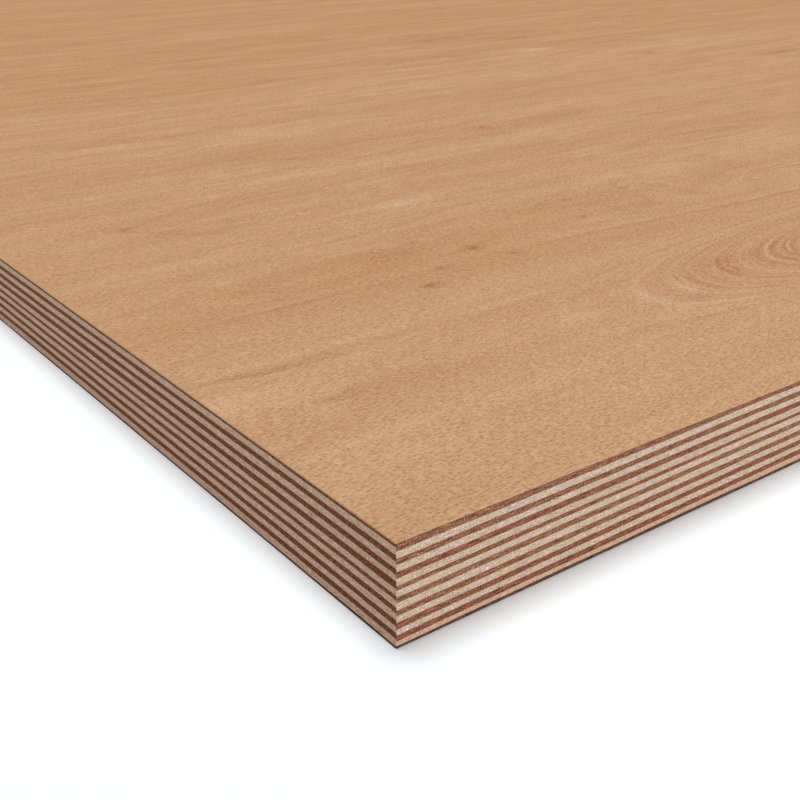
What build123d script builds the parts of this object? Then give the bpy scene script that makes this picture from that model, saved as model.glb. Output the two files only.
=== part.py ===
from build123d import *
import os

# Sheet as sold, in millimetres: its length follows the grain of the two faces
SHEET_LENGTH = 2500.0
SHEET_WIDTH = 1250.0

# Thickness of each kind of veneer: a face is sanded down after the glueing
FACE_VENEER = 1.2
PALE_VENEER = 1.6
DARK_VENEER = 1.4

# Pale cross plies in the stack, with one dark long ply between each two of them
PALE_PLY_COUNT = 8


def ply_stack():
    """Name and thickness of every ply, from the underside of the sheet to its top."""
    plies = [("bottom_face_veneer", FACE_VENEER)]
    for number in range(1, PALE_PLY_COUNT + 1):
        plies.append((f"pale_ply_{number}", PALE_VENEER))
        if number < PALE_PLY_COUNT:
            plies.append((f"dark_ply_{number}", DARK_VENEER))
    plies.append(("top_face_veneer", FACE_VENEER))
    return plies


def veneer(underside, thickness):
    """One ply, sawn square to the sheet's outline, lying on the ply below it."""
    with BuildPart() as ply:
        with BuildSketch(Plane.XY.offset(underside)):
            Rectangle(SHEET_LENGTH, SHEET_WIDTH)
        extrude(amount=thickness)
    return ply.part


def main():
    """Lays the plies up from the floor, each one on the top of the last."""
    os.makedirs("parts", exist_ok=True)
    underside = 0
    for name, thickness in ply_stack():
        shape = veneer(underside, thickness)
        shape.label = name
        export_step(shape, f"parts/{name}.step")
        underside += thickness


main()
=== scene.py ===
import math
import random

import bpy
import numpy as np
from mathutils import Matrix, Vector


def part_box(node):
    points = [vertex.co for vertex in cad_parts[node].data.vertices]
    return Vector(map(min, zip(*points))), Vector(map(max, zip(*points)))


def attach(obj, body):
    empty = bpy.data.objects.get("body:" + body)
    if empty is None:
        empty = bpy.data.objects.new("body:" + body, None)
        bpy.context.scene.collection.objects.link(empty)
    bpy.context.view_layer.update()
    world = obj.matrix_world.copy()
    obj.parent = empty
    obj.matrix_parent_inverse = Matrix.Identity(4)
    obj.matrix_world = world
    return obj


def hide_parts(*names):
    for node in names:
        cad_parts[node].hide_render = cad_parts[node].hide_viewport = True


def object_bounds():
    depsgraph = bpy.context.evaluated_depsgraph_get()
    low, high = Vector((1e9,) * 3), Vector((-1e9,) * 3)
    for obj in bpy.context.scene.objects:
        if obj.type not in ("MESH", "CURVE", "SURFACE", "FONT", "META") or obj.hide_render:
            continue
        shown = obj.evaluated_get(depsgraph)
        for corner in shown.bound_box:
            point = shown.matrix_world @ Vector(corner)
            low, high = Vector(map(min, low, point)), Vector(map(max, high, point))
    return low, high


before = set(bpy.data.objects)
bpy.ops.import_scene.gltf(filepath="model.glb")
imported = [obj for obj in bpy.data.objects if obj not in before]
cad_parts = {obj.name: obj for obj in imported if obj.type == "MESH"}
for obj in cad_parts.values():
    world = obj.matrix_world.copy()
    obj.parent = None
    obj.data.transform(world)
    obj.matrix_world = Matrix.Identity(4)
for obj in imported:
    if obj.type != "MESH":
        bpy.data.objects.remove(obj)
CAD_LOW, CAD_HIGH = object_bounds()

MM = 0.001

# The sheet, in metres, from the frame
THICKNESS = CAD_HIGH.z - CAD_LOW.z
HALF_LENGTH = (CAD_HIGH.x - CAD_LOW.x) / 2
HALF_WIDTH = (CAD_HIGH.y - CAD_LOW.y) / 2
NEAR_CORNER = (CAD_LOW.x, CAD_LOW.y, CAD_LOW.z)
NEXT_VENEER_CORNER = (CAD_LOW.x - 2 * HALF_LENGTH, CAD_LOW.y - 2 * HALF_WIDTH, CAD_LOW.z)

# Camera: its place in sheet thicknesses from the near corner's foot, its angles in degrees, and its lens and
# sensor in millimetres
CAMERA_PLACE_SHARES = (-4.475, -6.012, 5.741)
CAMERA_YAW = 53.116
CAMERA_PITCH = 25.19
CAMERA_LENS = 51.67
SENSOR_WIDTH = 36.0
CLIP_START = 10.0 * MM

# Light levels, of which 1 on a face shows its colours as written, and angles in degrees
SKY_LEVEL = 0.2
SKY_COLOR = (0.93, 0.965, 1.0)
OVERHEAD_LEVEL = 0.71
OVERHEAD_ANGLE = 29.0
OVERHEAD_TILT = 9.5
OVERHEAD_HEADING = -12.0
KEY_LEVEL = 0.515
KEY_ANGLE = 25.0
KEY_HEIGHT = 12.0

# Floor: its colour, the glow that the camera sees on it, its size, and how far it laps under the sheet
FLOOR_COLOR = (0.864, 0.915, 0.948)
FLOOR_GLOW_COLOR = (1.0, 0.97, 0.94)
FLOOR_GLOW = 0.14
FLOOR_SIZE = 80.0
FLOOR_LAP = 20.0 * MM

# Sides of the middle on which the sheet's corners lie, from the near one round
CORNERS = ((-1, -1), (1, -1), (1, 1), (-1, 1))

# Outline of a ply: stations along an edge grow from fine at a corner to coarse in the middle
FINE_STEP = 1.0 * MM
COARSE_STEP = 8.0 * MM
STEP_GROWTH = 1.2
CORNER_ROUND = 0.08 * MM
CORNER_POINTS = 4
STRAIGHTS = [2 * half - 2 * CORNER_ROUND for half in (HALF_LENGTH, HALF_WIDTH) * 2]
# Arrises: how far they are eased inward, and how far down the top ones are on the long and short edges
ARRIS_EASE = 0.12 * MM
LONG_ARRIS_DROP = 0.03 * MM
SHORT_ARRIS_DROP = 0.28 * MM
# The plies are wavy in a band along the edges, and the saw leaves the inner ones back by up to a step
WAVY_BAND = 12.0 * MM
SAW_STEP = 0.05 * MM
SEED = 17

# Waves of the glue lines: drift of the whole stack at the ends of each edge, and a ripple of each line
DRIFT_START = (-1.0 * MM, 0.20 * MM, -0.35 * MM, -0.05 * MM)
DRIFT_END = (0.25 * MM, -0.30 * MM, 0.30 * MM, -0.05 * MM)
DRIFT_FADE = 130.0 * MM
LOWEST_LINE_SHARE = 0.2
# Lines that lie off their even pace, counted from the lowest: on the long edges and on the short ones
LONG_RISE = 0.16 * MM
LONG_SHIFTS = {
    0: -0.27 * MM, 1: -0.1 * MM, 2: -0.05 * MM, 3: -0.08 * MM, 4: -0.05 * MM, 5: -0.05 * MM,
    7: 0.17 * MM, 8: 0.15 * MM, 9: 0.17 * MM, 10: -0.23 * MM, 11: -0.1 * MM, 15: 0.12 * MM,
}
SHORT_SHIFTS = {
    0: -0.55 * MM, 1: -0.25 * MM, 2: -0.17 * MM, 3: -0.12 * MM, 4: -0.12 * MM,
    8: -0.18 * MM, 9: -0.2 * MM, 13: 0.12 * MM, 14: 0.08 * MM, 15: 0.25 * MM,
}
RIPPLE_HEIGHT = 0.04 * MM
RIPPLE_LENGTHS = (24.0 * MM, 57.0 * MM, 133.0 * MM)
RIPPLE_LENGTH_SHARES = (0.8, 1.25)


def linear(red, green, blue):
    """A colour given in sRGB, 0 to 255, as the renderer's linear colour."""
    channels = [c / 255 for c in (red, green, blue)]
    return tuple(c / 12.92 if c <= 0.04045 else ((c + 0.055) / 1.055) ** 2.4 for c in channels)


# Colours of the wood
FACE_TAN = linear(205, 161, 122)
FACE_BROWN = linear(195, 146, 104)
FACE_PALE = linear(222, 188, 152)
FACE_DARK = linear(170, 118, 80)
FACE_RED = linear(184, 118, 82)
RING_RED = linear(177, 117, 80)
# Light fibres of the face, in part a painted highlight on their relief
LIGHT_FIBRE_AND_HIGHLIGHT = linear(234, 197, 162)
KNOT_RED = linear(164, 92, 54)
FLECK_BROWN = linear(160, 114, 72)
EDGE_BROWN = linear(147, 104, 79)
EDGE_RED = linear(142, 88, 68)
EDGE_SCORCH = linear(94, 56, 40)
EDGE_UMBER = linear(108, 60, 34)
PALE_CREAM = linear(202, 180, 157)
PALE_TAN = linear(184, 158, 136)
PALE_ORANGE = linear(216, 166, 134)
PALE_STAIN = linear(214, 170, 144)
PALE_PINK = linear(216, 184, 176)
PALE_STRAW = linear(198, 180, 138)

ENDLESS = 1e6
HILL_BASE = math.exp(-1)

# Growth rings of the face. Places and sizes are shares of the sheet's thickness, from the near corner.
# Rings crowd between crests that lie along the grain, evenly spaced across the sheet but for one wider gap.
CREST_PLACE_SHARE = 2.65
CREST_PACE_SHARE = 2.9
CREST_FLAT_SHARE = 0.75
CREST_SOFT_SHARE = 0.6
CREST_FALL = 4.0
GAP_START_SHARE = 14.5
GAP_END_SHARE = 17.5
GAP_WIDTH_SHARE = 1.15
# Figures of the rings: place, half sizes along and across the grain, turn in degrees, number of rings, and
# the rings that stand out: where each has its tip along the grain, and its strength, red above 0, pale below
FIGURE_SHARES = (
    (10.73, 2.57, 2.94, 0.95, 0.0, 16.0, ((5.65, -0.3), (6.3, -0.38), (6.6, 0.42), (7.25, 0.45),
                                          (7.62, -0.2), (7.95, 0.25), (8.3, 0.35), (8.7, 0.2))),
    (-1.6, 2.80, 1.80, 0.70, 0.0, 3.0, ((1.05, -0.2),)),
    (3.1, 5.62, 1.50, 0.45, 0.0, 2.4, ((3.8, 0.1), (4.2, 0.2))),
    (12.0, 5.35, 2.90, 0.55, 0.0, 4.0, ()),
    (13.0, 8.00, 8.00, 1.80, -4.5, 8.0, ((1.85, 0.9),)),
    (-3.0, 10.95, 8.00, 0.90, 0.0, 8.0, ((9.4, 0.5), (8.5, 0.75), (7.7, -0.3), (7.0, 0.6),
                                         (5.5, 0.5), (4.4, 0.3))),
    (14.6, 18.15, 1.50, 0.70, 0.0, 3.0, ((13.6, 0.4), (15.8, 0.6))),
    (26.0, 18.40, 3.80, 0.60, 0.0, 5.0, ((21.0, 0.4), (22.3, 0.4))),
    (20.5, 21.20, 3.60, 0.80, 0.0, 6.0, ((14.6, 0.4), (16.0, 0.5), (17.4, 0.4))),
    (3.0, 21.50, 5.00, 0.80, 0.0, 3.0, ((8.3, 0.4),)),
)
RING_WIDTH_SHARE = 0.1
RING_SPAN = 16.0
MARK_FOOT_RAMP = (0.015, 0.045)
MARK_RED_LEVEL = 3.6
MARK_PALE_LEVEL = 3.4
# Sway of the crests, wander of the rings, and figures left to chance away from the near corner
SWAY_SHARE = 3.0
NEAR_SWAY_SHARE = 0.5
SWAY_SIZE_SHARES = (14.0, 4.0)
WANDER_RINGS = 0.55
WANDER_SIZE_SHARES = (3.4, 0.5)
CHANCE_RINGS = 16.0
CHANCE_SIZE_SHARES = (8.0, 1.8)
FIGURED_PLACE_SHARES = (10.0, 10.0)
FIGURED_SIZE_SHARES = (22.0, 18.0)
FIGURED_RAMP = (0.4, 0.8)
# Streaks, ring lines and bands of tone. A ramp holds the two ends of a number and what they turn into, and
# one named for depth goes by the distance in from the front edge.
STREAK_SIZE_SHARES = (1.5, 0.2)
STREAK_RINGS_DEPTH_SHARES = (5.0, 16.0, 0.4, 1.5)
STREAK_TONE_DEPTH_SHARES = (2.0, 18.0, 0.2, 0.6)
LINE_PACE = 1.8
BROAD_LINE_PACE = 0.5
BROAD_LINE_DEPTH_SHARES = (9.0, 20.0, 0.0, 0.55)
CLEAR_SIZE_SHARES = (2.4, 0.6)
CLEAR_RAMP = (0.35, 0.65, 0.2, 1.0)
CLEAR_DEPTH_SHARES = (5.0, 7.5, 1.0, 0.5)
CLEAR_FIGURED_RAMP = (0.0, 0.08, 0.6, 2.0)
PALE_LINE_RAMP = (0.5, 0.75, 0.0, 0.28)
DARK_LINE_RAMP = (0.5, 0.25, 0.0, 0.36)
BAND_SIZE_SHARES = (9.0, 0.8)
BAND_BROWN_RAMP = (0.3, 0.7, 0.15, 0.85)
CREST_BROWN_SHARES = (0.3, 1.3, 0.1, -0.1)
NEAR_BROWN_DEPTH_SHARES = (0.8, 4.2, -0.35, -0.1)
FAR_BROWN_DEPTH_SHARES = (15.0, 20.0, 0.0, 0.4)
# Tints: place and half sizes along and across the grain, and strength, red above 0 and pale below. Red shows
# most on the dark ring lines.
TINT_LINE_RAMP = (0.65, 0.35, 0.3, 1.0)
TINT_SHARES = (
    (7.30, 2.66, 0.18, 0.20, 0.7),
    (7.62, 2.93, 0.22, 0.16, 0.6),
    (6.28, 2.20, 0.30, 0.10, 0.3),
    (8.5, 2.50, 0.60, 0.40, 0.2),
    (8.3, 2.60, 2.30, 1.00, 0.19),
    (0.1, 2.90, 0.70, 0.26, -0.3),
    (1.2, 3.62, 2.20, 0.10, -0.3),
    (4.3, 3.48, 1.40, 0.08, -0.2),
    (4.6, 2.62, 0.25, 0.16, -0.25),
    (0.5, 1.60, 2.20, 0.10, -0.2),
    (3.2, 2.50, 1.50, 0.30, 0.12),
    (4.5, 5.20, 4.00, 0.90, 0.09),
    (4.1, 5.64, 0.45, 0.22, 0.42),
    (2.9, 5.70, 0.90, 0.25, 0.08),
    (8.76, 5.37, 0.25, 0.13, 0.55),
    (5.8, 7.68, 0.60, 0.21, -0.48),
    (1.0, 8.50, 0.35, 0.30, -0.15),
    (4.6, 8.50, 0.70, 0.10, -0.25),
    (6.2, 8.98, 0.90, 0.09, -0.25),
    (1.85, 8.92, 0.14, 0.12, 0.7),
    (2.36, 8.40, 0.20, 0.10, 0.5),
    (6.2, 11.20, 1.00, 0.30, 0.45),
    (10.3, 10.95, 0.40, 0.20, 0.55),
    (12.5, 11.10, 0.90, 0.24, 0.7),
    (4.3, 14.08, 1.30, 0.08, 0.9),
    (19.5, 13.90, 1.20, 0.15, 0.65),
    (23.3, 13.68, 0.80, 0.15, 0.7),
    (18.0, 18.05, 0.90, 0.30, -0.4),
    (17.2, 21.20, 0.90, 0.45, 0.85),
    (19.2, 20.10, 0.90, 0.40, 0.65),
)
# Pin knots: place, radius and strength
KNOT_SHARES = (
    (5.28, 5.33, 0.14, 0.95),
    (3.86, 4.47, 0.13, 0.9),
    (4.38, 4.90, 0.09, 0.7),
    (5.56, 4.84, 0.10, 0.75),
    (4.74, 6.01, 0.09, 0.65),
    (7.53, 5.50, 0.11, 0.55),
    (7.96, 6.31, 0.09, 0.6),
    (10.40, 11.12, 0.16, 0.7),
    (20.3, 15.75, 0.25, 0.6),
    (23.1, 23.48, 0.22, 0.5),
    (25.1, 22.87, 0.22, 0.5),
)
KNOT_LENGTH_SHARE = 1.3
KNOT_HALO_SHARE = 0.35
KNOT_CORE_POWER = 7.0
# Fibres and the flecks of the rays
FIBRE_SIZE_SHARES = (0.085, 0.02)
# The fibres' light and dark colour is fibre tone, and in part painted highlight and painted shade of their
# relief
FIBRE_LIGHT_AND_HIGHLIGHT_RAMP = (0.5, 0.7, 0.0, 0.27)
FIBRE_DARK_AND_SHADE_RAMP = (0.5, 0.3, 0.0, 0.27)
FIBRE_HEIGHT_SHARE = 0.5
FLECK_SIZE_SHARES = (0.05, 0.034)
FLECK_REACH_RAMP = (0.45, 0.1)
FLECK_CHANCE_RAMP = (0.0, 1.0, 0.1, 1.0)
FLECK_SHARE = 0.36
FACE_ROUGHNESS_RAMP = (0.3, 0.7, 0.7, 0.8)
FACE_RELIEF = 0.24 * MM
FACE_SPECULAR = 0.03

# Tones of the plies, from the lowest up: share of brown in the dark ones, share of cream in the pale ones
DARK_BROWN_SHARES = (0.9, 0.1, 0.1, 0.6, 0.9, 0.3, 0.1, 0.6, 0.6)
PALE_CREAM_SHARES = (1.0, 0.9, 0.65, 0.85, 0.75, 0.35, 0.7, 0.85)
# The lowest ply's edge is darkened further by painted shade along the floor, and the pale one above it is
# more orange than the rest
LOWEST_PAINTED_SHADE_LEVEL = 0.5
LOWEST_ORANGE_SHARE = 0.45
# Sawn edges: sizes of the streaks, speckles and patches along the sheet, across it and up, and their ramps
GLUE_RAMP = (0.0, 0.2, 1.0, 0.0)
DARK_STREAK_SHARES = (0.14, 0.05, 0.011)
DARK_SPECKLE_SHARES = (0.015, 0.015, 0.015)
DARK_PATCH_SHARES = (0.3, 0.3, 0.022)
DARK_PATCH_LEVEL = 2.6
DARK_STREAK_RAMP = (0.3, 0.7, 0.2, 1.7)
DARK_SPECKLE_RAMP = (0.3, 0.7, 0.3, 1.67)
# Painted light: the dark plies' short edges are made lighter than their long ones
DARK_SHORT_PAINTED_LIGHT_LEVEL = 1.13
DARK_ROUGHNESS_RAMP = (0.3, 0.7, 0.68, 0.82)
DARK_SPECULAR = 0.05
SCORCH_RAMP = (0.3, 0.7, 0.05, 0.45)
UMBER_SHARE = 0.7
PALE_STREAK_SHARES = (0.07, 0.09, 0.012)
PALE_SPECKLE_SHARES = (0.013, 0.013, 0.013)
PALE_PATCH_SHARES = (0.4, 0.4, 0.03)
PALE_PATCH_LEVEL = 2.0
PALE_STREAK_RAMP = (0.3, 0.7, 0.68, 1.30)
PALE_SPECKLE_RAMP = (0.3, 0.7, 0.6, 1.38)
# Painted light: the pale plies' short edges are made lighter than their long ones
PALE_SHORT_PAINTED_LIGHT_LEVEL = 1.06
PALE_ROUGHNESS_RAMP = (0.3, 0.7, 0.7, 0.85)
PALE_SPECULAR = 0.1
HUE_SIZE_SHARES = (0.25, 0.25, 0.018)
PINK_RAMP = (0.5, 0.65, 0.0, 0.8)
STRAW_RAMP = (0.5, 0.35, 0.0, 0.8)
STAIN_RAMP = (0.3, 0.7, 0.3, 0.8)
SHORT_ORANGE_SHARE = 0.45
SHORT_OWN_ORANGE_SHARE = 1 / 3
EDGE_RELIEF = 0.08 * MM


class Graph:
    """A material's nodes, made in the order in which they are written."""

    def __init__(self, name):
        self.material = bpy.data.materials.new(name)
        self.material.use_nodes = True
        self.tree = self.material.node_tree
        self.tree.nodes.clear()

    def node(self, kind, **settings):
        made = self.tree.nodes.new(kind)
        for key, value in settings.items():
            setattr(made, key, value)
        return made

    def feed(self, socket, value):
        """Links an output to a socket, or sets the socket to a plain value."""
        if isinstance(value, bpy.types.NodeSocket):
            self.tree.links.new(value, socket)
        else:
            socket.default_value = value

    def math(self, operation, *values, clamp=False):
        made = self.node("ShaderNodeMath", operation=operation, use_clamp=clamp)
        for socket, value in zip(made.inputs, values):
            self.feed(socket, value)
        return made.outputs[0]

    def remap(self, value, low, high, to_low=0.0, to_high=1.0, smooth=False):
        kind = "SMOOTHSTEP" if smooth else "LINEAR"
        made = self.node("ShaderNodeMapRange", interpolation_type=kind)
        for name, given in zip(("Value", "From Min", "From Max", "To Min", "To Max"),
                               (value, low, high, to_low, to_high)):
            self.feed(made.inputs[name], given)
        return made.outputs[0]

    def place(self, corner=NEAR_CORNER):
        """Where a point is, in sheet thicknesses from a corner."""
        spot = self.node("ShaderNodeTexCoord").outputs["Object"]
        return self.within(spot, corner, (THICKNESS,) * 3)

    def within(self, vector, middle, sizes, turn=0.0):
        """A vector seen from a middle, in shares of the sizes along and across a turned grain."""
        if turn:
            turned = self.node("ShaderNodeVectorRotate", rotation_type="Z_AXIS")
            self.feed(turned.inputs["Vector"], vector)
            turned.inputs["Center"].default_value = middle
            turned.inputs["Angle"].default_value = -math.radians(turn)
            vector = turned.outputs[0]
        made = self.node("ShaderNodeVectorMath", operation="MULTIPLY_ADD")
        self.feed(made.inputs[0], vector)
        made.inputs[1].default_value = [1 / size for size in sizes]
        made.inputs[2].default_value = [-place / size for place, size in zip(middle, sizes)]
        return made.outputs[0]

    def split(self, vector):
        made = self.node("ShaderNodeSeparateXYZ")
        self.feed(made.inputs[0], vector)
        return made.outputs[0], made.outputs[1], made.outputs[2]

    def noise(self, vector, sizes, detail=2.0, roughness=0.5, distortion=0.0):
        """Noise from 0 to 1 with lumps of these sizes, the same at every height where only two are given."""
        made = self.node("ShaderNodeTexNoise", noise_dimensions=f"{len(sizes)}D")
        self.feed(made.inputs["Vector"], self.within(vector, (0.0, 0.0, 0.0), (*sizes, 1.0)[:3]))
        made.inputs["Scale"].default_value = 1.0
        made.inputs["Detail"].default_value = detail
        made.inputs["Roughness"].default_value = roughness
        made.inputs["Distortion"].default_value = distortion
        return made.outputs[0]

    def swing(self, vector, sizes, detail):
        """The same noise, but from a half below 0 to a half above it."""
        return self.math("SUBTRACT", self.noise(vector, sizes, detail), 0.5)

    def cells(self, vector, sizes):
        """Distance from the middle of scattered cells of these sizes, and a chance number of each cell."""
        made = self.node("ShaderNodeTexVoronoi", voronoi_dimensions="2D")
        self.feed(made.inputs["Vector"], self.within(vector, (0.0, 0.0, 0.0), (*sizes, 1.0)))
        made.inputs["Scale"].default_value = 1.0
        return made.outputs["Distance"], self.split(made.outputs["Color"])[0]

    def lines(self, value, pace, detail, roughness):
        """Noise from 0 to 1 along a single number."""
        made = self.node("ShaderNodeTexNoise", noise_dimensions="1D")
        self.feed(made.inputs["W"], value)
        made.inputs["Scale"].default_value = pace
        made.inputs["Detail"].default_value = detail
        made.inputs["Roughness"].default_value = roughness
        return made.outputs[0]

    def hill(self, vector, middle, sizes, turn=0.0):
        """A round hill on the face, 1 at its middle, that falls away over the sizes."""
        away = self.within(vector, (*middle, 0.0), (*sizes, ENDLESS), turn)
        dot = self.node("ShaderNodeVectorMath", operation="DOT_PRODUCT")
        self.feed(dot.inputs[0], away)
        self.feed(dot.inputs[1], away)
        return self.math("POWER", HILL_BASE, dot.outputs["Value"])

    def peaks(self, value, span, stops):
        """A half, but for peaks at the stops of a span, each given by its place, half width and height."""
        made = self.node("ShaderNodeValToRGB")
        ramp = made.color_ramp
        ramp.elements[0].color = (0.5,) * 4
        ramp.elements[1].color = (0.5,) * 4
        for middle, width, height in stops:
            for offset, level in ((-width, 0.5), (0.0, 0.5 + height / 2), (width, 0.5)):
                ramp.elements.new((middle + offset) / span).color = (level,) * 4
        self.feed(made.inputs[0], self.math("DIVIDE", value, span))
        return made.outputs["Alpha"]

    def blend(self, share, first, second):
        made = self.node("ShaderNodeMix", data_type="RGBA")
        self.feed(made.inputs[0], share)
        for socket, colour in ((made.inputs[6], first), (made.inputs[7], second)):
            self.feed(socket, colour if isinstance(colour, bpy.types.NodeSocket) else (*colour, 1.0))
        return made.outputs[2]

    def shade(self, colour, share):
        """A colour times a number."""
        made = self.node("ShaderNodeVectorMath", operation="SCALE")
        self.feed(made.inputs[0], colour)
        self.feed(made.inputs["Scale"], share)
        return made.outputs[0]

    def finish(self, colour, roughness, height, relief, specular):
        """Wood of this colour and roughness, with the height as relief of that depth."""
        bump = self.node("ShaderNodeBump")
        bump.inputs["Strength"].default_value = 1.0
        bump.inputs["Distance"].default_value = relief
        self.feed(bump.inputs["Height"], height)
        wood = self.node("ShaderNodeBsdfPrincipled")
        self.feed(wood.inputs["Base Color"], colour)
        self.feed(wood.inputs["Roughness"], roughness)
        wood.inputs["Specular IOR Level"].default_value = specular
        self.feed(wood.inputs["Normal"], bump.outputs[0])
        out = self.node("ShaderNodeOutputMaterial")
        self.feed(out.inputs["Surface"], wood.outputs[0])
        return self.material


def figure_peaks(middle, along, count, tips):
    """The rings of a figure that stand out: ring number, half width in rings, and strength."""
    for tip, strength in tips:
        away = (tip - middle) / along
        ring = count * math.exp(-away * away)
        slope = abs(2 * ring * away / along)
        yield ring, slope * RING_WIDTH_SHARE, strength


def growth_rings(g, place, inward, figures):
    """A number that rises by 1 from ring to ring, and the distance from the nearest crest.

    Then how figured a point is, and how far it is on a ring that stands out, red above 0 and pale below."""
    sway_size, chance_rings = SWAY_SHARE, CHANCE_RINGS
    if figures:
        near = g.hill(place, FIGURED_PLACE_SHARES, FIGURED_SIZE_SHARES)
        sway_size = g.remap(near, *FIGURED_RAMP, SWAY_SHARE, NEAR_SWAY_SHARE, smooth=True)
        chance_rings = g.remap(near, *FIGURED_RAMP, CHANCE_RINGS, 0.0, smooth=True)
    sway = g.swing(place, SWAY_SIZE_SHARES, detail=1.0)
    gap = g.remap(inward, GAP_START_SHARE, GAP_END_SHARE, 0.0, GAP_WIDTH_SHARE, smooth=True)
    across = g.math("SUBTRACT", g.math("SUBTRACT", inward, CREST_PLACE_SHARE), gap)
    across = g.math("MULTIPLY_ADD", sway, sway_size, across)
    fold = g.math("PINGPONG", g.math("MAXIMUM", across, 0.0), CREST_PACE_SHARE / 2)
    away = g.math("MAXIMUM", fold, g.math("MULTIPLY", across, -1.0))
    fall = g.math("SMOOTH_MAX", g.math("SUBTRACT", away, CREST_FLAT_SHARE), 0.0, CREST_SOFT_SHARE)
    rings = g.math("MULTIPLY", fall, -CREST_FALL)
    wander = g.swing(place, WANDER_SIZE_SHARES, detail=2.0)
    rings = g.math("MULTIPLY_ADD", wander, WANDER_RINGS, rings)
    chance = g.swing(place, CHANCE_SIZE_SHARES, detail=1.0)
    rings = g.math("MULTIPLY_ADD", chance, chance_rings, rings)
    figured = 0.0
    marks = []
    for middle, depth, along, wide, turn, count, tips in figures:
        hill = g.hill(place, (middle, depth), (along, wide), turn)
        rings = g.math("MULTIPLY_ADD", hill, count, rings)
        figured = g.math("ADD", hill, figured)
        if tips:
            marks.append((hill, sorted(figure_peaks(middle, along, count, tips))))
    marked = 0.0
    for hill, stops in marks:
        peaks = g.math("SUBTRACT", g.peaks(rings, RING_SPAN, stops), 0.5)
        marked = g.math("MULTIPLY_ADD", peaks, g.remap(hill, *MARK_FOOT_RAMP), marked)
    return rings, away, figured, marked


def face_material(name, corner, figures=(), tints=(), knots=()):
    """Sanded beech: growth rings, broad bands of tone, tints, pin knots and short flecks along the grain."""
    g = Graph(name)
    place = g.place(corner)
    inward = g.split(place)[1]
    rings, away, figured, marked = growth_rings(g, place, inward, figures)
    streak = g.noise(place, STREAK_SIZE_SHARES, detail=3.0, roughness=0.75, distortion=0.5)
    rings = g.math("MULTIPLY_ADD", streak, g.remap(inward, *STREAK_RINGS_DEPTH_SHARES), rings)
    broad = g.math("SUBTRACT", g.lines(rings, BROAD_LINE_PACE, detail=2.0, roughness=0.6), 0.5)
    lines = g.lines(rings, LINE_PACE, detail=3.0, roughness=0.75)
    lines = g.math("MULTIPLY_ADD", broad, g.remap(inward, *BROAD_LINE_DEPTH_SHARES), lines)
    clear = g.remap(g.noise(place, CLEAR_SIZE_SHARES, detail=1.0), *CLEAR_RAMP)
    clear = g.math("MULTIPLY", clear, g.remap(inward, *CLEAR_DEPTH_SHARES))
    if figures:
        marked = g.math("MULTIPLY", marked, clear)
        clear = g.math("MULTIPLY", clear, g.remap(figured, *CLEAR_FIGURED_RAMP))
    pale = g.math("MULTIPLY", g.remap(lines, *PALE_LINE_RAMP), clear)
    dark = g.math("MULTIPLY", g.remap(lines, *DARK_LINE_RAMP), clear)

    # Bands of tone along the grain: brown on the crests and far in, paler between crests and near the edge
    band = g.noise(place, BAND_SIZE_SHARES, detail=2.0)
    crest = g.remap(away, *CREST_BROWN_SHARES)
    deep = g.remap(inward, *NEAR_BROWN_DEPTH_SHARES, smooth=True)
    deep = g.math("ADD", deep, g.remap(inward, *FAR_BROWN_DEPTH_SHARES, smooth=True))
    brown = g.math("ADD", g.math("ADD", crest, deep), g.remap(band, *BAND_BROWN_RAMP), clamp=True)
    colour = g.blend(brown, FACE_TAN, FACE_BROWN)
    colour = g.blend(pale, colour, FACE_PALE)
    colour = g.blend(dark, colour, FACE_DARK)
    if figures:
        colour = g.blend(g.math("MULTIPLY", marked, MARK_RED_LEVEL, clamp=True), colour, RING_RED)
        colour = g.blend(g.math("MULTIPLY", marked, -MARK_PALE_LEVEL, clamp=True), colour, FACE_PALE)
        tinted = 0.0
        for along, depth, long, wide, strength in tints:
            hill = g.hill(place, (along, depth), (long, wide))
            tinted = g.math("MULTIPLY_ADD", hill, strength, tinted)
        ringed = g.remap(lines, *TINT_LINE_RAMP)
        colour = g.blend(g.math("MULTIPLY", tinted, ringed, clamp=True), colour, FACE_RED)
        colour = g.blend(g.math("MULTIPLY", tinted, -1.0, clamp=True), colour, FACE_PALE)
        knotted = 0.0
        for along, depth, radius, strength in knots:
            hill = g.hill(place, (along, depth), (radius * KNOT_LENGTH_SHARE, radius))
            knotted = g.math("MULTIPLY_ADD", hill, strength * KNOT_HALO_SHARE, knotted)
            core = g.math("POWER", hill, KNOT_CORE_POWER)
            knotted = g.math("MULTIPLY_ADD", core, strength * (1 - KNOT_HALO_SHARE), knotted)
        colour = g.blend(knotted, colour, KNOT_RED)

    # Fine streaks, fibres, and the flecks of the rays: short proud dashes along the grain
    contrast = g.remap(inward, *STREAK_TONE_DEPTH_SHARES)
    colour = g.shade(colour, g.math("MULTIPLY_ADD", g.math("SUBTRACT", streak, 0.5), contrast, 1.0))
    fibre = g.noise(place, FIBRE_SIZE_SHARES, detail=1.0, roughness=0.6)
    reach, chance = g.cells(place, FLECK_SIZE_SHARES)
    fleck = g.remap(reach, *FLECK_REACH_RAMP, smooth=True)
    fleck = g.math("MULTIPLY", fleck, g.remap(chance, *FLECK_CHANCE_RAMP))
    # Fibre tone, and in part painted highlight and painted shade of the fibres' relief
    colour = g.blend(g.remap(fibre, *FIBRE_LIGHT_AND_HIGHLIGHT_RAMP), colour, LIGHT_FIBRE_AND_HIGHLIGHT)
    colour = g.blend(g.remap(fibre, *FIBRE_DARK_AND_SHADE_RAMP), colour, FLECK_BROWN)
    colour = g.blend(g.math("MULTIPLY", fleck, FLECK_SHARE), colour, FLECK_BROWN)
    height = g.math("MULTIPLY_ADD", fibre, FIBRE_HEIGHT_SHARE, fleck)
    roughness = g.remap(fibre, *FACE_ROUGHNESS_RAMP)
    return g.finish(colour, roughness, height, FACE_RELIEF, FACE_SPECULAR)


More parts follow.
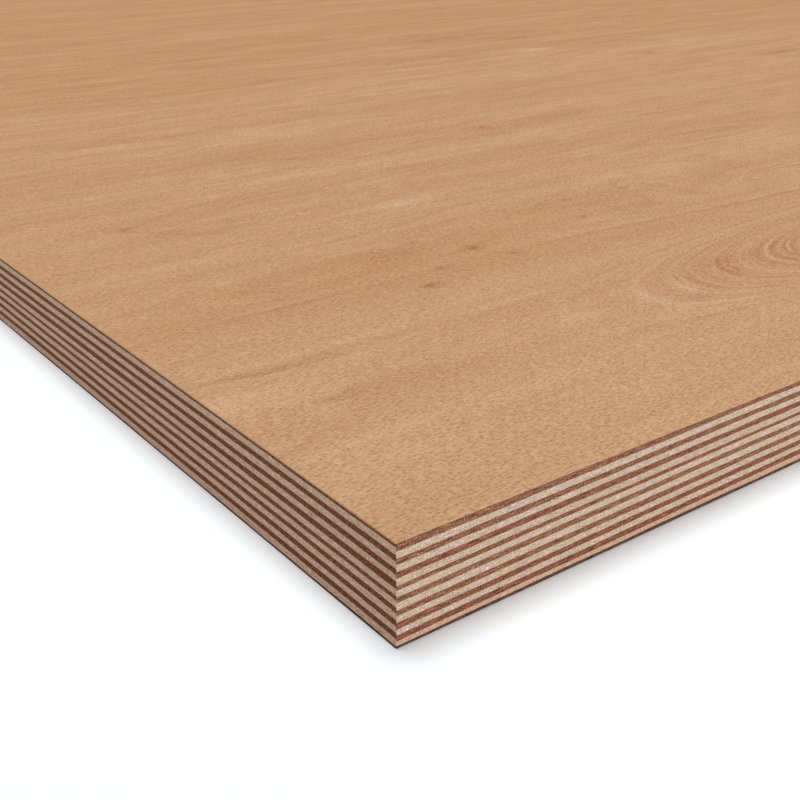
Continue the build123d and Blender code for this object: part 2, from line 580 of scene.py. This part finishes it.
def edge_layers(g):
    """How near a point is to a glue line, and 1 on the sheet's short edges but 0 on its long ones."""
    height = g.node("ShaderNodeAttribute", attribute_name="ply_height").outputs["Fac"]
    inside = g.math("MINIMUM", height, g.math("SUBTRACT", 1.0, height))
    glue = g.remap(inside, *GLUE_RAMP, smooth=True)
    outward = g.node("ShaderNodeNewGeometry").outputs["True Normal"]
    return glue, g.math("ABSOLUTE", g.split(outward)[0])


def dark_edge_material(name, brown_share, painted_shade_level=1.0):
    """Sawn edge of a dark ply, whose grain runs along the sheet and shows its ends on the short edges."""
    g = Graph(name)
    place = g.place()
    glue, short = edge_layers(g)
    streak = g.noise(place, DARK_STREAK_SHARES, detail=2.0, roughness=0.7)
    speckle = g.noise(place, DARK_SPECKLE_SHARES, detail=1.0, roughness=0.7)
    patch = g.swing(place, DARK_PATCH_SHARES, detail=2.0)
    brown = g.math("MULTIPLY_ADD", patch, DARK_PATCH_LEVEL, brown_share, clamp=True)
    colour = g.blend(brown, EDGE_RED, EDGE_BROWN)
    scorch = g.math("MULTIPLY", glue, g.remap(streak, *SCORCH_RAMP))
    colour = g.blend(scorch, colour, EDGE_SCORCH)
    colour = g.blend(g.math("MULTIPLY", short, UMBER_SHARE), colour, EDGE_UMBER)
    tone = g.math("MULTIPLY", g.remap(streak, *DARK_STREAK_RAMP), g.remap(speckle, *DARK_SPECKLE_RAMP))
    # Painted light: the short edges are made lighter than the long ones
    # Painted shade: the painted shade level darkens the whole edge, on the lowest ply where it meets the
    # floor
    light = g.remap(short, 0.0, 1.0, painted_shade_level, painted_shade_level * DARK_SHORT_PAINTED_LIGHT_LEVEL)
    colour = g.shade(colour, g.math("MULTIPLY", tone, light))
    roughness = g.remap(streak, *DARK_ROUGHNESS_RAMP)
    return g.finish(colour, roughness, g.math("ADD", streak, speckle), EDGE_RELIEF, DARK_SPECULAR)


def pale_edge_material(name, cream_share, orange_share=0.0):
    """Sawn edge of a pale ply, whose grain runs across the sheet and shows its ends on the long edges."""
    g = Graph(name)
    place = g.place()
    glue, short = edge_layers(g)
    streak = g.noise(place, PALE_STREAK_SHARES, detail=2.0, roughness=0.7)
    speckle = g.noise(place, PALE_SPECKLE_SHARES, detail=1.0, roughness=0.7)
    patch = g.swing(place, PALE_PATCH_SHARES, detail=2.0)
    cream = g.math("MULTIPLY_ADD", patch, PALE_PATCH_LEVEL, cream_share, clamp=True)
    colour = g.blend(cream, PALE_TAN, PALE_CREAM)
    hue = g.noise(place, HUE_SIZE_SHARES, detail=1.0)
    colour = g.blend(g.remap(hue, *PINK_RAMP), colour, PALE_PINK)
    colour = g.blend(g.remap(hue, *STRAW_RAMP), colour, PALE_STRAW)
    short_orange = SHORT_ORANGE_SHARE + orange_share * SHORT_OWN_ORANGE_SHARE
    colour = g.blend(g.remap(short, 0.0, 1.0, orange_share, short_orange), colour, PALE_ORANGE)
    stain = g.math("MULTIPLY", glue, g.remap(streak, *STAIN_RAMP))
    colour = g.blend(stain, colour, PALE_STAIN)
    tone = g.math("MULTIPLY", g.remap(streak, *PALE_STREAK_RAMP), g.remap(speckle, *PALE_SPECKLE_RAMP))
    # Painted light: the short edges are made lighter than the long ones
    light = g.remap(short, 0.0, 1.0, 1.0, PALE_SHORT_PAINTED_LIGHT_LEVEL)
    colour = g.shade(colour, g.math("MULTIPLY", tone, light))
    roughness = g.remap(speckle, *PALE_ROUGHNESS_RAMP)
    return g.finish(colour, roughness, g.math("ADD", streak, speckle), EDGE_RELIEF, PALE_SPECULAR)


def edge_stations(length):
    """Distances along an edge from one corner to the next, fine at both ends."""
    first_half = [0.0]
    step = FINE_STEP
    while first_half[-1] + step < length / 2:
        first_half.append(first_half[-1] + step)
        step = min(step * STEP_GROWTH, COARSE_STEP)
    first_half.append(length / 2)
    return first_half + [length - s for s in reversed(first_half[:-1])]


def sheet_outline():
    """Points round the sheet from the near corner, and the edge, the distance along it and the turn of each.

    The turn runs from 0 to 1 round the corner at the start of an edge, and is 1 along the edge."""
    points, edges = [], []
    for edge, (side_x, side_y) in enumerate(CORNERS):
        end_x, end_y = CORNERS[(edge + 1) % len(CORNERS)]
        way = np.array((end_x - side_x, end_y - side_y)) / 2
        inward = np.array((-way[1], way[0]))
        start = np.array((side_x * HALF_LENGTH, side_y * HALF_WIDTH))
        middle = start + (way + inward) * CORNER_ROUND
        for step in range(CORNER_POINTS):
            angle = math.pi / 2 * step / CORNER_POINTS
            points.append(middle - CORNER_ROUND * (way * math.cos(angle) + inward * math.sin(angle)))
            edges.append((edge, 0.0, step / CORNER_POINTS))
        for distance in edge_stations(STRAIGHTS[edge])[:-1]:
            points.append(start + way * (CORNER_ROUND + distance))
            edges.append((edge, distance, 1.0))
    return np.array(points), np.array(edges)


def line_height(edge, distance, shifts, drift_share, ripples):
    """How far a glue line lies above its even pace at distances along the edges with these numbers."""
    straights = np.array(STRAIGHTS)[edge]
    drift = np.array(DRIFT_START)[edge] * np.exp(-distance / DRIFT_FADE)
    drift += np.array(DRIFT_END)[edge] * np.exp((distance - straights) / DRIFT_FADE)
    ripple = sum(np.sin(2 * math.pi * distance / length + phases[edge]) for length, phases in ripples)
    return drift_share * drift + shifts[edge] + RIPPLE_HEIGHT * ripple


def glue_line_waves(edges, lines):
    """How far each glue line lies above its even pace at each point of the outline."""
    rng = random.Random(SEED)
    straights = np.array(STRAIGHTS)
    edge, distance, turn = edges[:, 0].astype(int), edges[:, 1], edges[:, 2]
    before = (edge - 1) % len(straights)
    waves = []
    for line in range(lines):
        drift_share = LOWEST_LINE_SHARE if line == 0 else 1.0
        shifts = np.array((LONG_RISE + LONG_SHIFTS.get(line, 0.0), SHORT_SHIFTS.get(line, 0.0)) * 2)
        ripples = []
        for length in RIPPLE_LENGTHS:
            phases = np.array([rng.uniform(0, 2 * math.pi) for straight in straights])
            ripples.append((length * rng.uniform(*RIPPLE_LENGTH_SHARES), phases))
        here = line_height(edge, distance, shifts, drift_share, ripples)
        corner = line_height(before, straights[before], shifts, drift_share, ripples)
        waves.append(turn * here + (1 - turn) * corner)
    return waves


def arris_drop(edges):
    """How far the top arris is eased downward at each point of the outline: further on the short edges."""
    edge, turn = edges[:, 0].astype(int), edges[:, 2]
    short = turn * (edge % 2) + (1 - turn) * ((edge + 1) % 2)
    return LONG_ARRIS_DROP + (SHORT_ARRIS_DROP - LONG_ARRIS_DROP) * short


def ring_vertices(outline, inset, heights):
    """The outline drawn in by an inset, at one height or at a height for each point."""
    shrink = np.array((1 - inset / HALF_LENGTH, 1 - inset / HALF_WIDTH))
    flat = outline * shrink
    return np.column_stack((flat, np.broadcast_to(heights, len(outline))))


def ply_piece(name, rings, materials, faced=()):
    """A closed ply from rings that run from the inside of its underside, round its edge, to its top.

    Each ring is its vertices and their height in the ply, from 0 to 1. The underside's lid, the band from
    each ring to the next and the top's lid are counted from 0. The faced ones take the second material."""
    count = len(rings[0][0])
    ahead = np.roll(np.arange(count), -1)
    faces, bands = [tuple(range(count - 1, -1, -1))], [0]
    for band in range(1, len(rings)):
        below, above = (band - 1) * count, band * count
        faces += [(below + i, below + ahead[i], above + ahead[i], above + i) for i in range(count)]
        bands += [band] * count
    top = (len(rings) - 1) * count
    faces.append(tuple(range(top, top + count)))
    bands.append(len(rings))
    mesh = bpy.data.meshes.new(name)
    mesh.from_pydata(np.concatenate([ring for ring, height in rings]).tolist(), [], faces)
    for material in materials:
        mesh.materials.append(material)
    mesh.polygons.foreach_set("material_index", [int(band in faced) for band in bands])
    layer = mesh.attributes.new("ply_height", "FLOAT", "POINT")
    layer.data.foreach_set("value", np.repeat([height for ring, height in rings], count))
    mesh.update()
    piece = bpy.data.objects.new(name, mesh)
    bpy.context.scene.collection.objects.link(piece)
    return piece


def build_plies():
    """Every ply of the sheet, in place of its plain solid."""
    nodes = sorted(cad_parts, key=lambda node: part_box(node)[0].z)
    outline, edges = sheet_outline()
    waves = glue_line_waves(edges, len(nodes) - 1)
    rng = random.Random(SEED)
    brown_shares, cream_shares = iter(DARK_BROWN_SHARES), iter(PALE_CREAM_SHARES)
    for number, node in enumerate(nodes):
        low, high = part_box(node)[0].z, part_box(node)[1].z
        lowest, highest = number == 0, number == len(nodes) - 1
        inset = 0.0 if lowest or highest else rng.uniform(0.0, SAW_STEP)
        bottom = [(ring_vertices(outline, WAVY_BAND, low), 0.0)]
        top = [(ring_vertices(outline, WAVY_BAND, high), 1.0)]
        if lowest:
            bottom.append((ring_vertices(outline, ARRIS_EASE, low), 0.0))
            base = low + ARRIS_EASE
        else:
            base = low + waves[number - 1]
        if highest:
            top.insert(0, (ring_vertices(outline, ARRIS_EASE, high), 1.0))
            crown = high - arris_drop(edges)
        else:
            crown = high + waves[number]
        bottom.append((ring_vertices(outline, inset, base), 0.0))
        top.insert(0, (ring_vertices(outline, inset, crown), 1.0))
        if "pale" in node:
            orange_share = LOWEST_ORANGE_SHARE if number == 1 else 0.0
            materials = [pale_edge_material(node + "_edge", next(cream_shares), orange_share)]
        else:
            # Painted shade: the lowest ply's edge is made darker where it meets the floor
            painted_shade_level = LOWEST_PAINTED_SHADE_LEVEL if lowest else 1.0
            materials = [dark_edge_material(node + "_edge", next(brown_shares), painted_shade_level)]
        faced = ()
        if lowest:
            materials.append(face_material("underside_beech", NEXT_VENEER_CORNER))
            faced = range(len(bottom) - 1)
        if highest:
            top_figure = (FIGURE_SHARES, TINT_SHARES, KNOT_SHARES)
            materials.append(face_material("top_beech", NEAR_CORNER, *top_figure))
            faced = range(len(bottom) + 1, len(bottom) + len(top) + 1)
        piece = ply_piece("veneer_" + node, bottom + top, materials, faced)
        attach(piece, "root")
        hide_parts(node)


def lit_material(name, colour, glow_colour, glow):
    """A matt colour that also glows a little to the camera."""
    g = Graph(name)
    path = g.node("ShaderNodeLightPath")
    seen = g.math("MAXIMUM", path.outputs["Is Camera Ray"], path.outputs["Is Glossy Ray"])
    seen = g.math("MAXIMUM", seen, path.outputs["Is Transmission Ray"])
    matt = g.node("ShaderNodeBsdfDiffuse")
    matt.inputs["Color"].default_value = (*colour, 1.0)
    light = g.node("ShaderNodeEmission")
    light.inputs["Color"].default_value = (*glow_colour, 1.0)
    g.feed(light.inputs["Strength"], g.math("MULTIPLY", seen, glow))
    both = g.node("ShaderNodeAddShader")
    g.feed(both.inputs[0], matt.outputs[0])
    g.feed(both.inputs[1], light.outputs[0])
    out = g.node("ShaderNodeOutputMaterial")
    g.feed(out.inputs["Surface"], both.outputs[0])
    return g.material


def build_floor():
    """A plain floor, left open under the sheet so that the underside can be seen from below."""
    mesh = bpy.data.meshes.new("floor")
    corners = []
    outer, opening = (FLOOR_SIZE / 2,) * 2, (HALF_LENGTH - FLOOR_LAP, HALF_WIDTH - FLOOR_LAP)
    for half_x, half_y in (outer, opening):
        corners += [(side_x * half_x, side_y * half_y, 0.0) for side_x, side_y in CORNERS]
    count = len(CORNERS)
    ahead = [(i + 1) % count for i in range(count)]
    mesh.from_pydata(corners, [], [(i, ahead[i], count + ahead[i], count + i) for i in range(count)])
    white = lit_material("white_floor", FLOOR_COLOR, FLOOR_GLOW_COLOR, FLOOR_GLOW)
    white.cycles.emission_sampling = "NONE"
    mesh.materials.append(white)
    floor = bpy.data.objects.new("floor", mesh)
    bpy.context.scene.collection.objects.link(floor)


def sun(name, level, spread, tilt, heading):
    """A soft lamp far away: tilt is from straight overhead, heading turns it about the vertical."""
    lamp = bpy.data.lights.new(name, "SUN")
    lamp.energy = level * math.pi
    lamp.angle = math.radians(spread)
    holder = bpy.data.objects.new(name, lamp)
    holder.rotation_euler = (math.radians(tilt), 0.0, math.radians(heading))
    bpy.context.scene.collection.objects.link(holder)


def build_light():
    """A dim sky that is seen as plain white, and two soft lamps."""
    world = bpy.data.worlds.new("studio")
    world.use_nodes = True
    bpy.context.scene.world = world
    tree = world.node_tree
    tree.nodes.clear()
    path = tree.nodes.new("ShaderNodeLightPath")
    dim = tree.nodes.new("ShaderNodeBackground")
    dim.inputs["Color"].default_value = (*SKY_COLOR, 1.0)
    dim.inputs["Strength"].default_value = SKY_LEVEL
    white = tree.nodes.new("ShaderNodeBackground")
    white.inputs["Color"].default_value = (1.0, 1.0, 1.0, 1.0)
    mix = tree.nodes.new("ShaderNodeMixShader")
    out = tree.nodes.new("ShaderNodeOutputWorld")
    seen = path.outputs["Is Camera Ray"]
    for ray in ("Is Glossy Ray", "Is Transmission Ray"):
        either = tree.nodes.new("ShaderNodeMath")
        either.operation = "MAXIMUM"
        tree.links.new(seen, either.inputs[0])
        tree.links.new(path.outputs[ray], either.inputs[1])
        seen = either.outputs[0]
    tree.links.new(seen, mix.inputs[0])
    tree.links.new(dim.outputs[0], mix.inputs[1])
    tree.links.new(white.outputs[0], mix.inputs[2])
    tree.links.new(mix.outputs[0], out.inputs["Surface"])
    sun("overhead", OVERHEAD_LEVEL, OVERHEAD_ANGLE, -OVERHEAD_TILT, OVERHEAD_HEADING)
    sun("key", KEY_LEVEL, KEY_ANGLE, 90.0 - KEY_HEIGHT, 0.0)


def build_camera():
    """The camera in front of the near corner."""
    data = bpy.data.cameras.new("camera")
    data.lens = CAMERA_LENS
    data.sensor_width = SENSOR_WIDTH
    data.clip_start = CLIP_START
    holder = bpy.data.objects.new("camera", data)
    holder.location = [c + share * THICKNESS for c, share in zip(NEAR_CORNER, CAMERA_PLACE_SHARES)]
    holder.rotation_euler = (math.radians(90.0 - CAMERA_PITCH), 0.0, math.radians(CAMERA_YAW - 90.0))
    bpy.context.scene.collection.objects.link(holder)
    bpy.context.scene.camera = holder


build_camera()
build_plies()
build_floor()
build_light()
bpy.context.scene.view_settings.view_transform = "Standard"
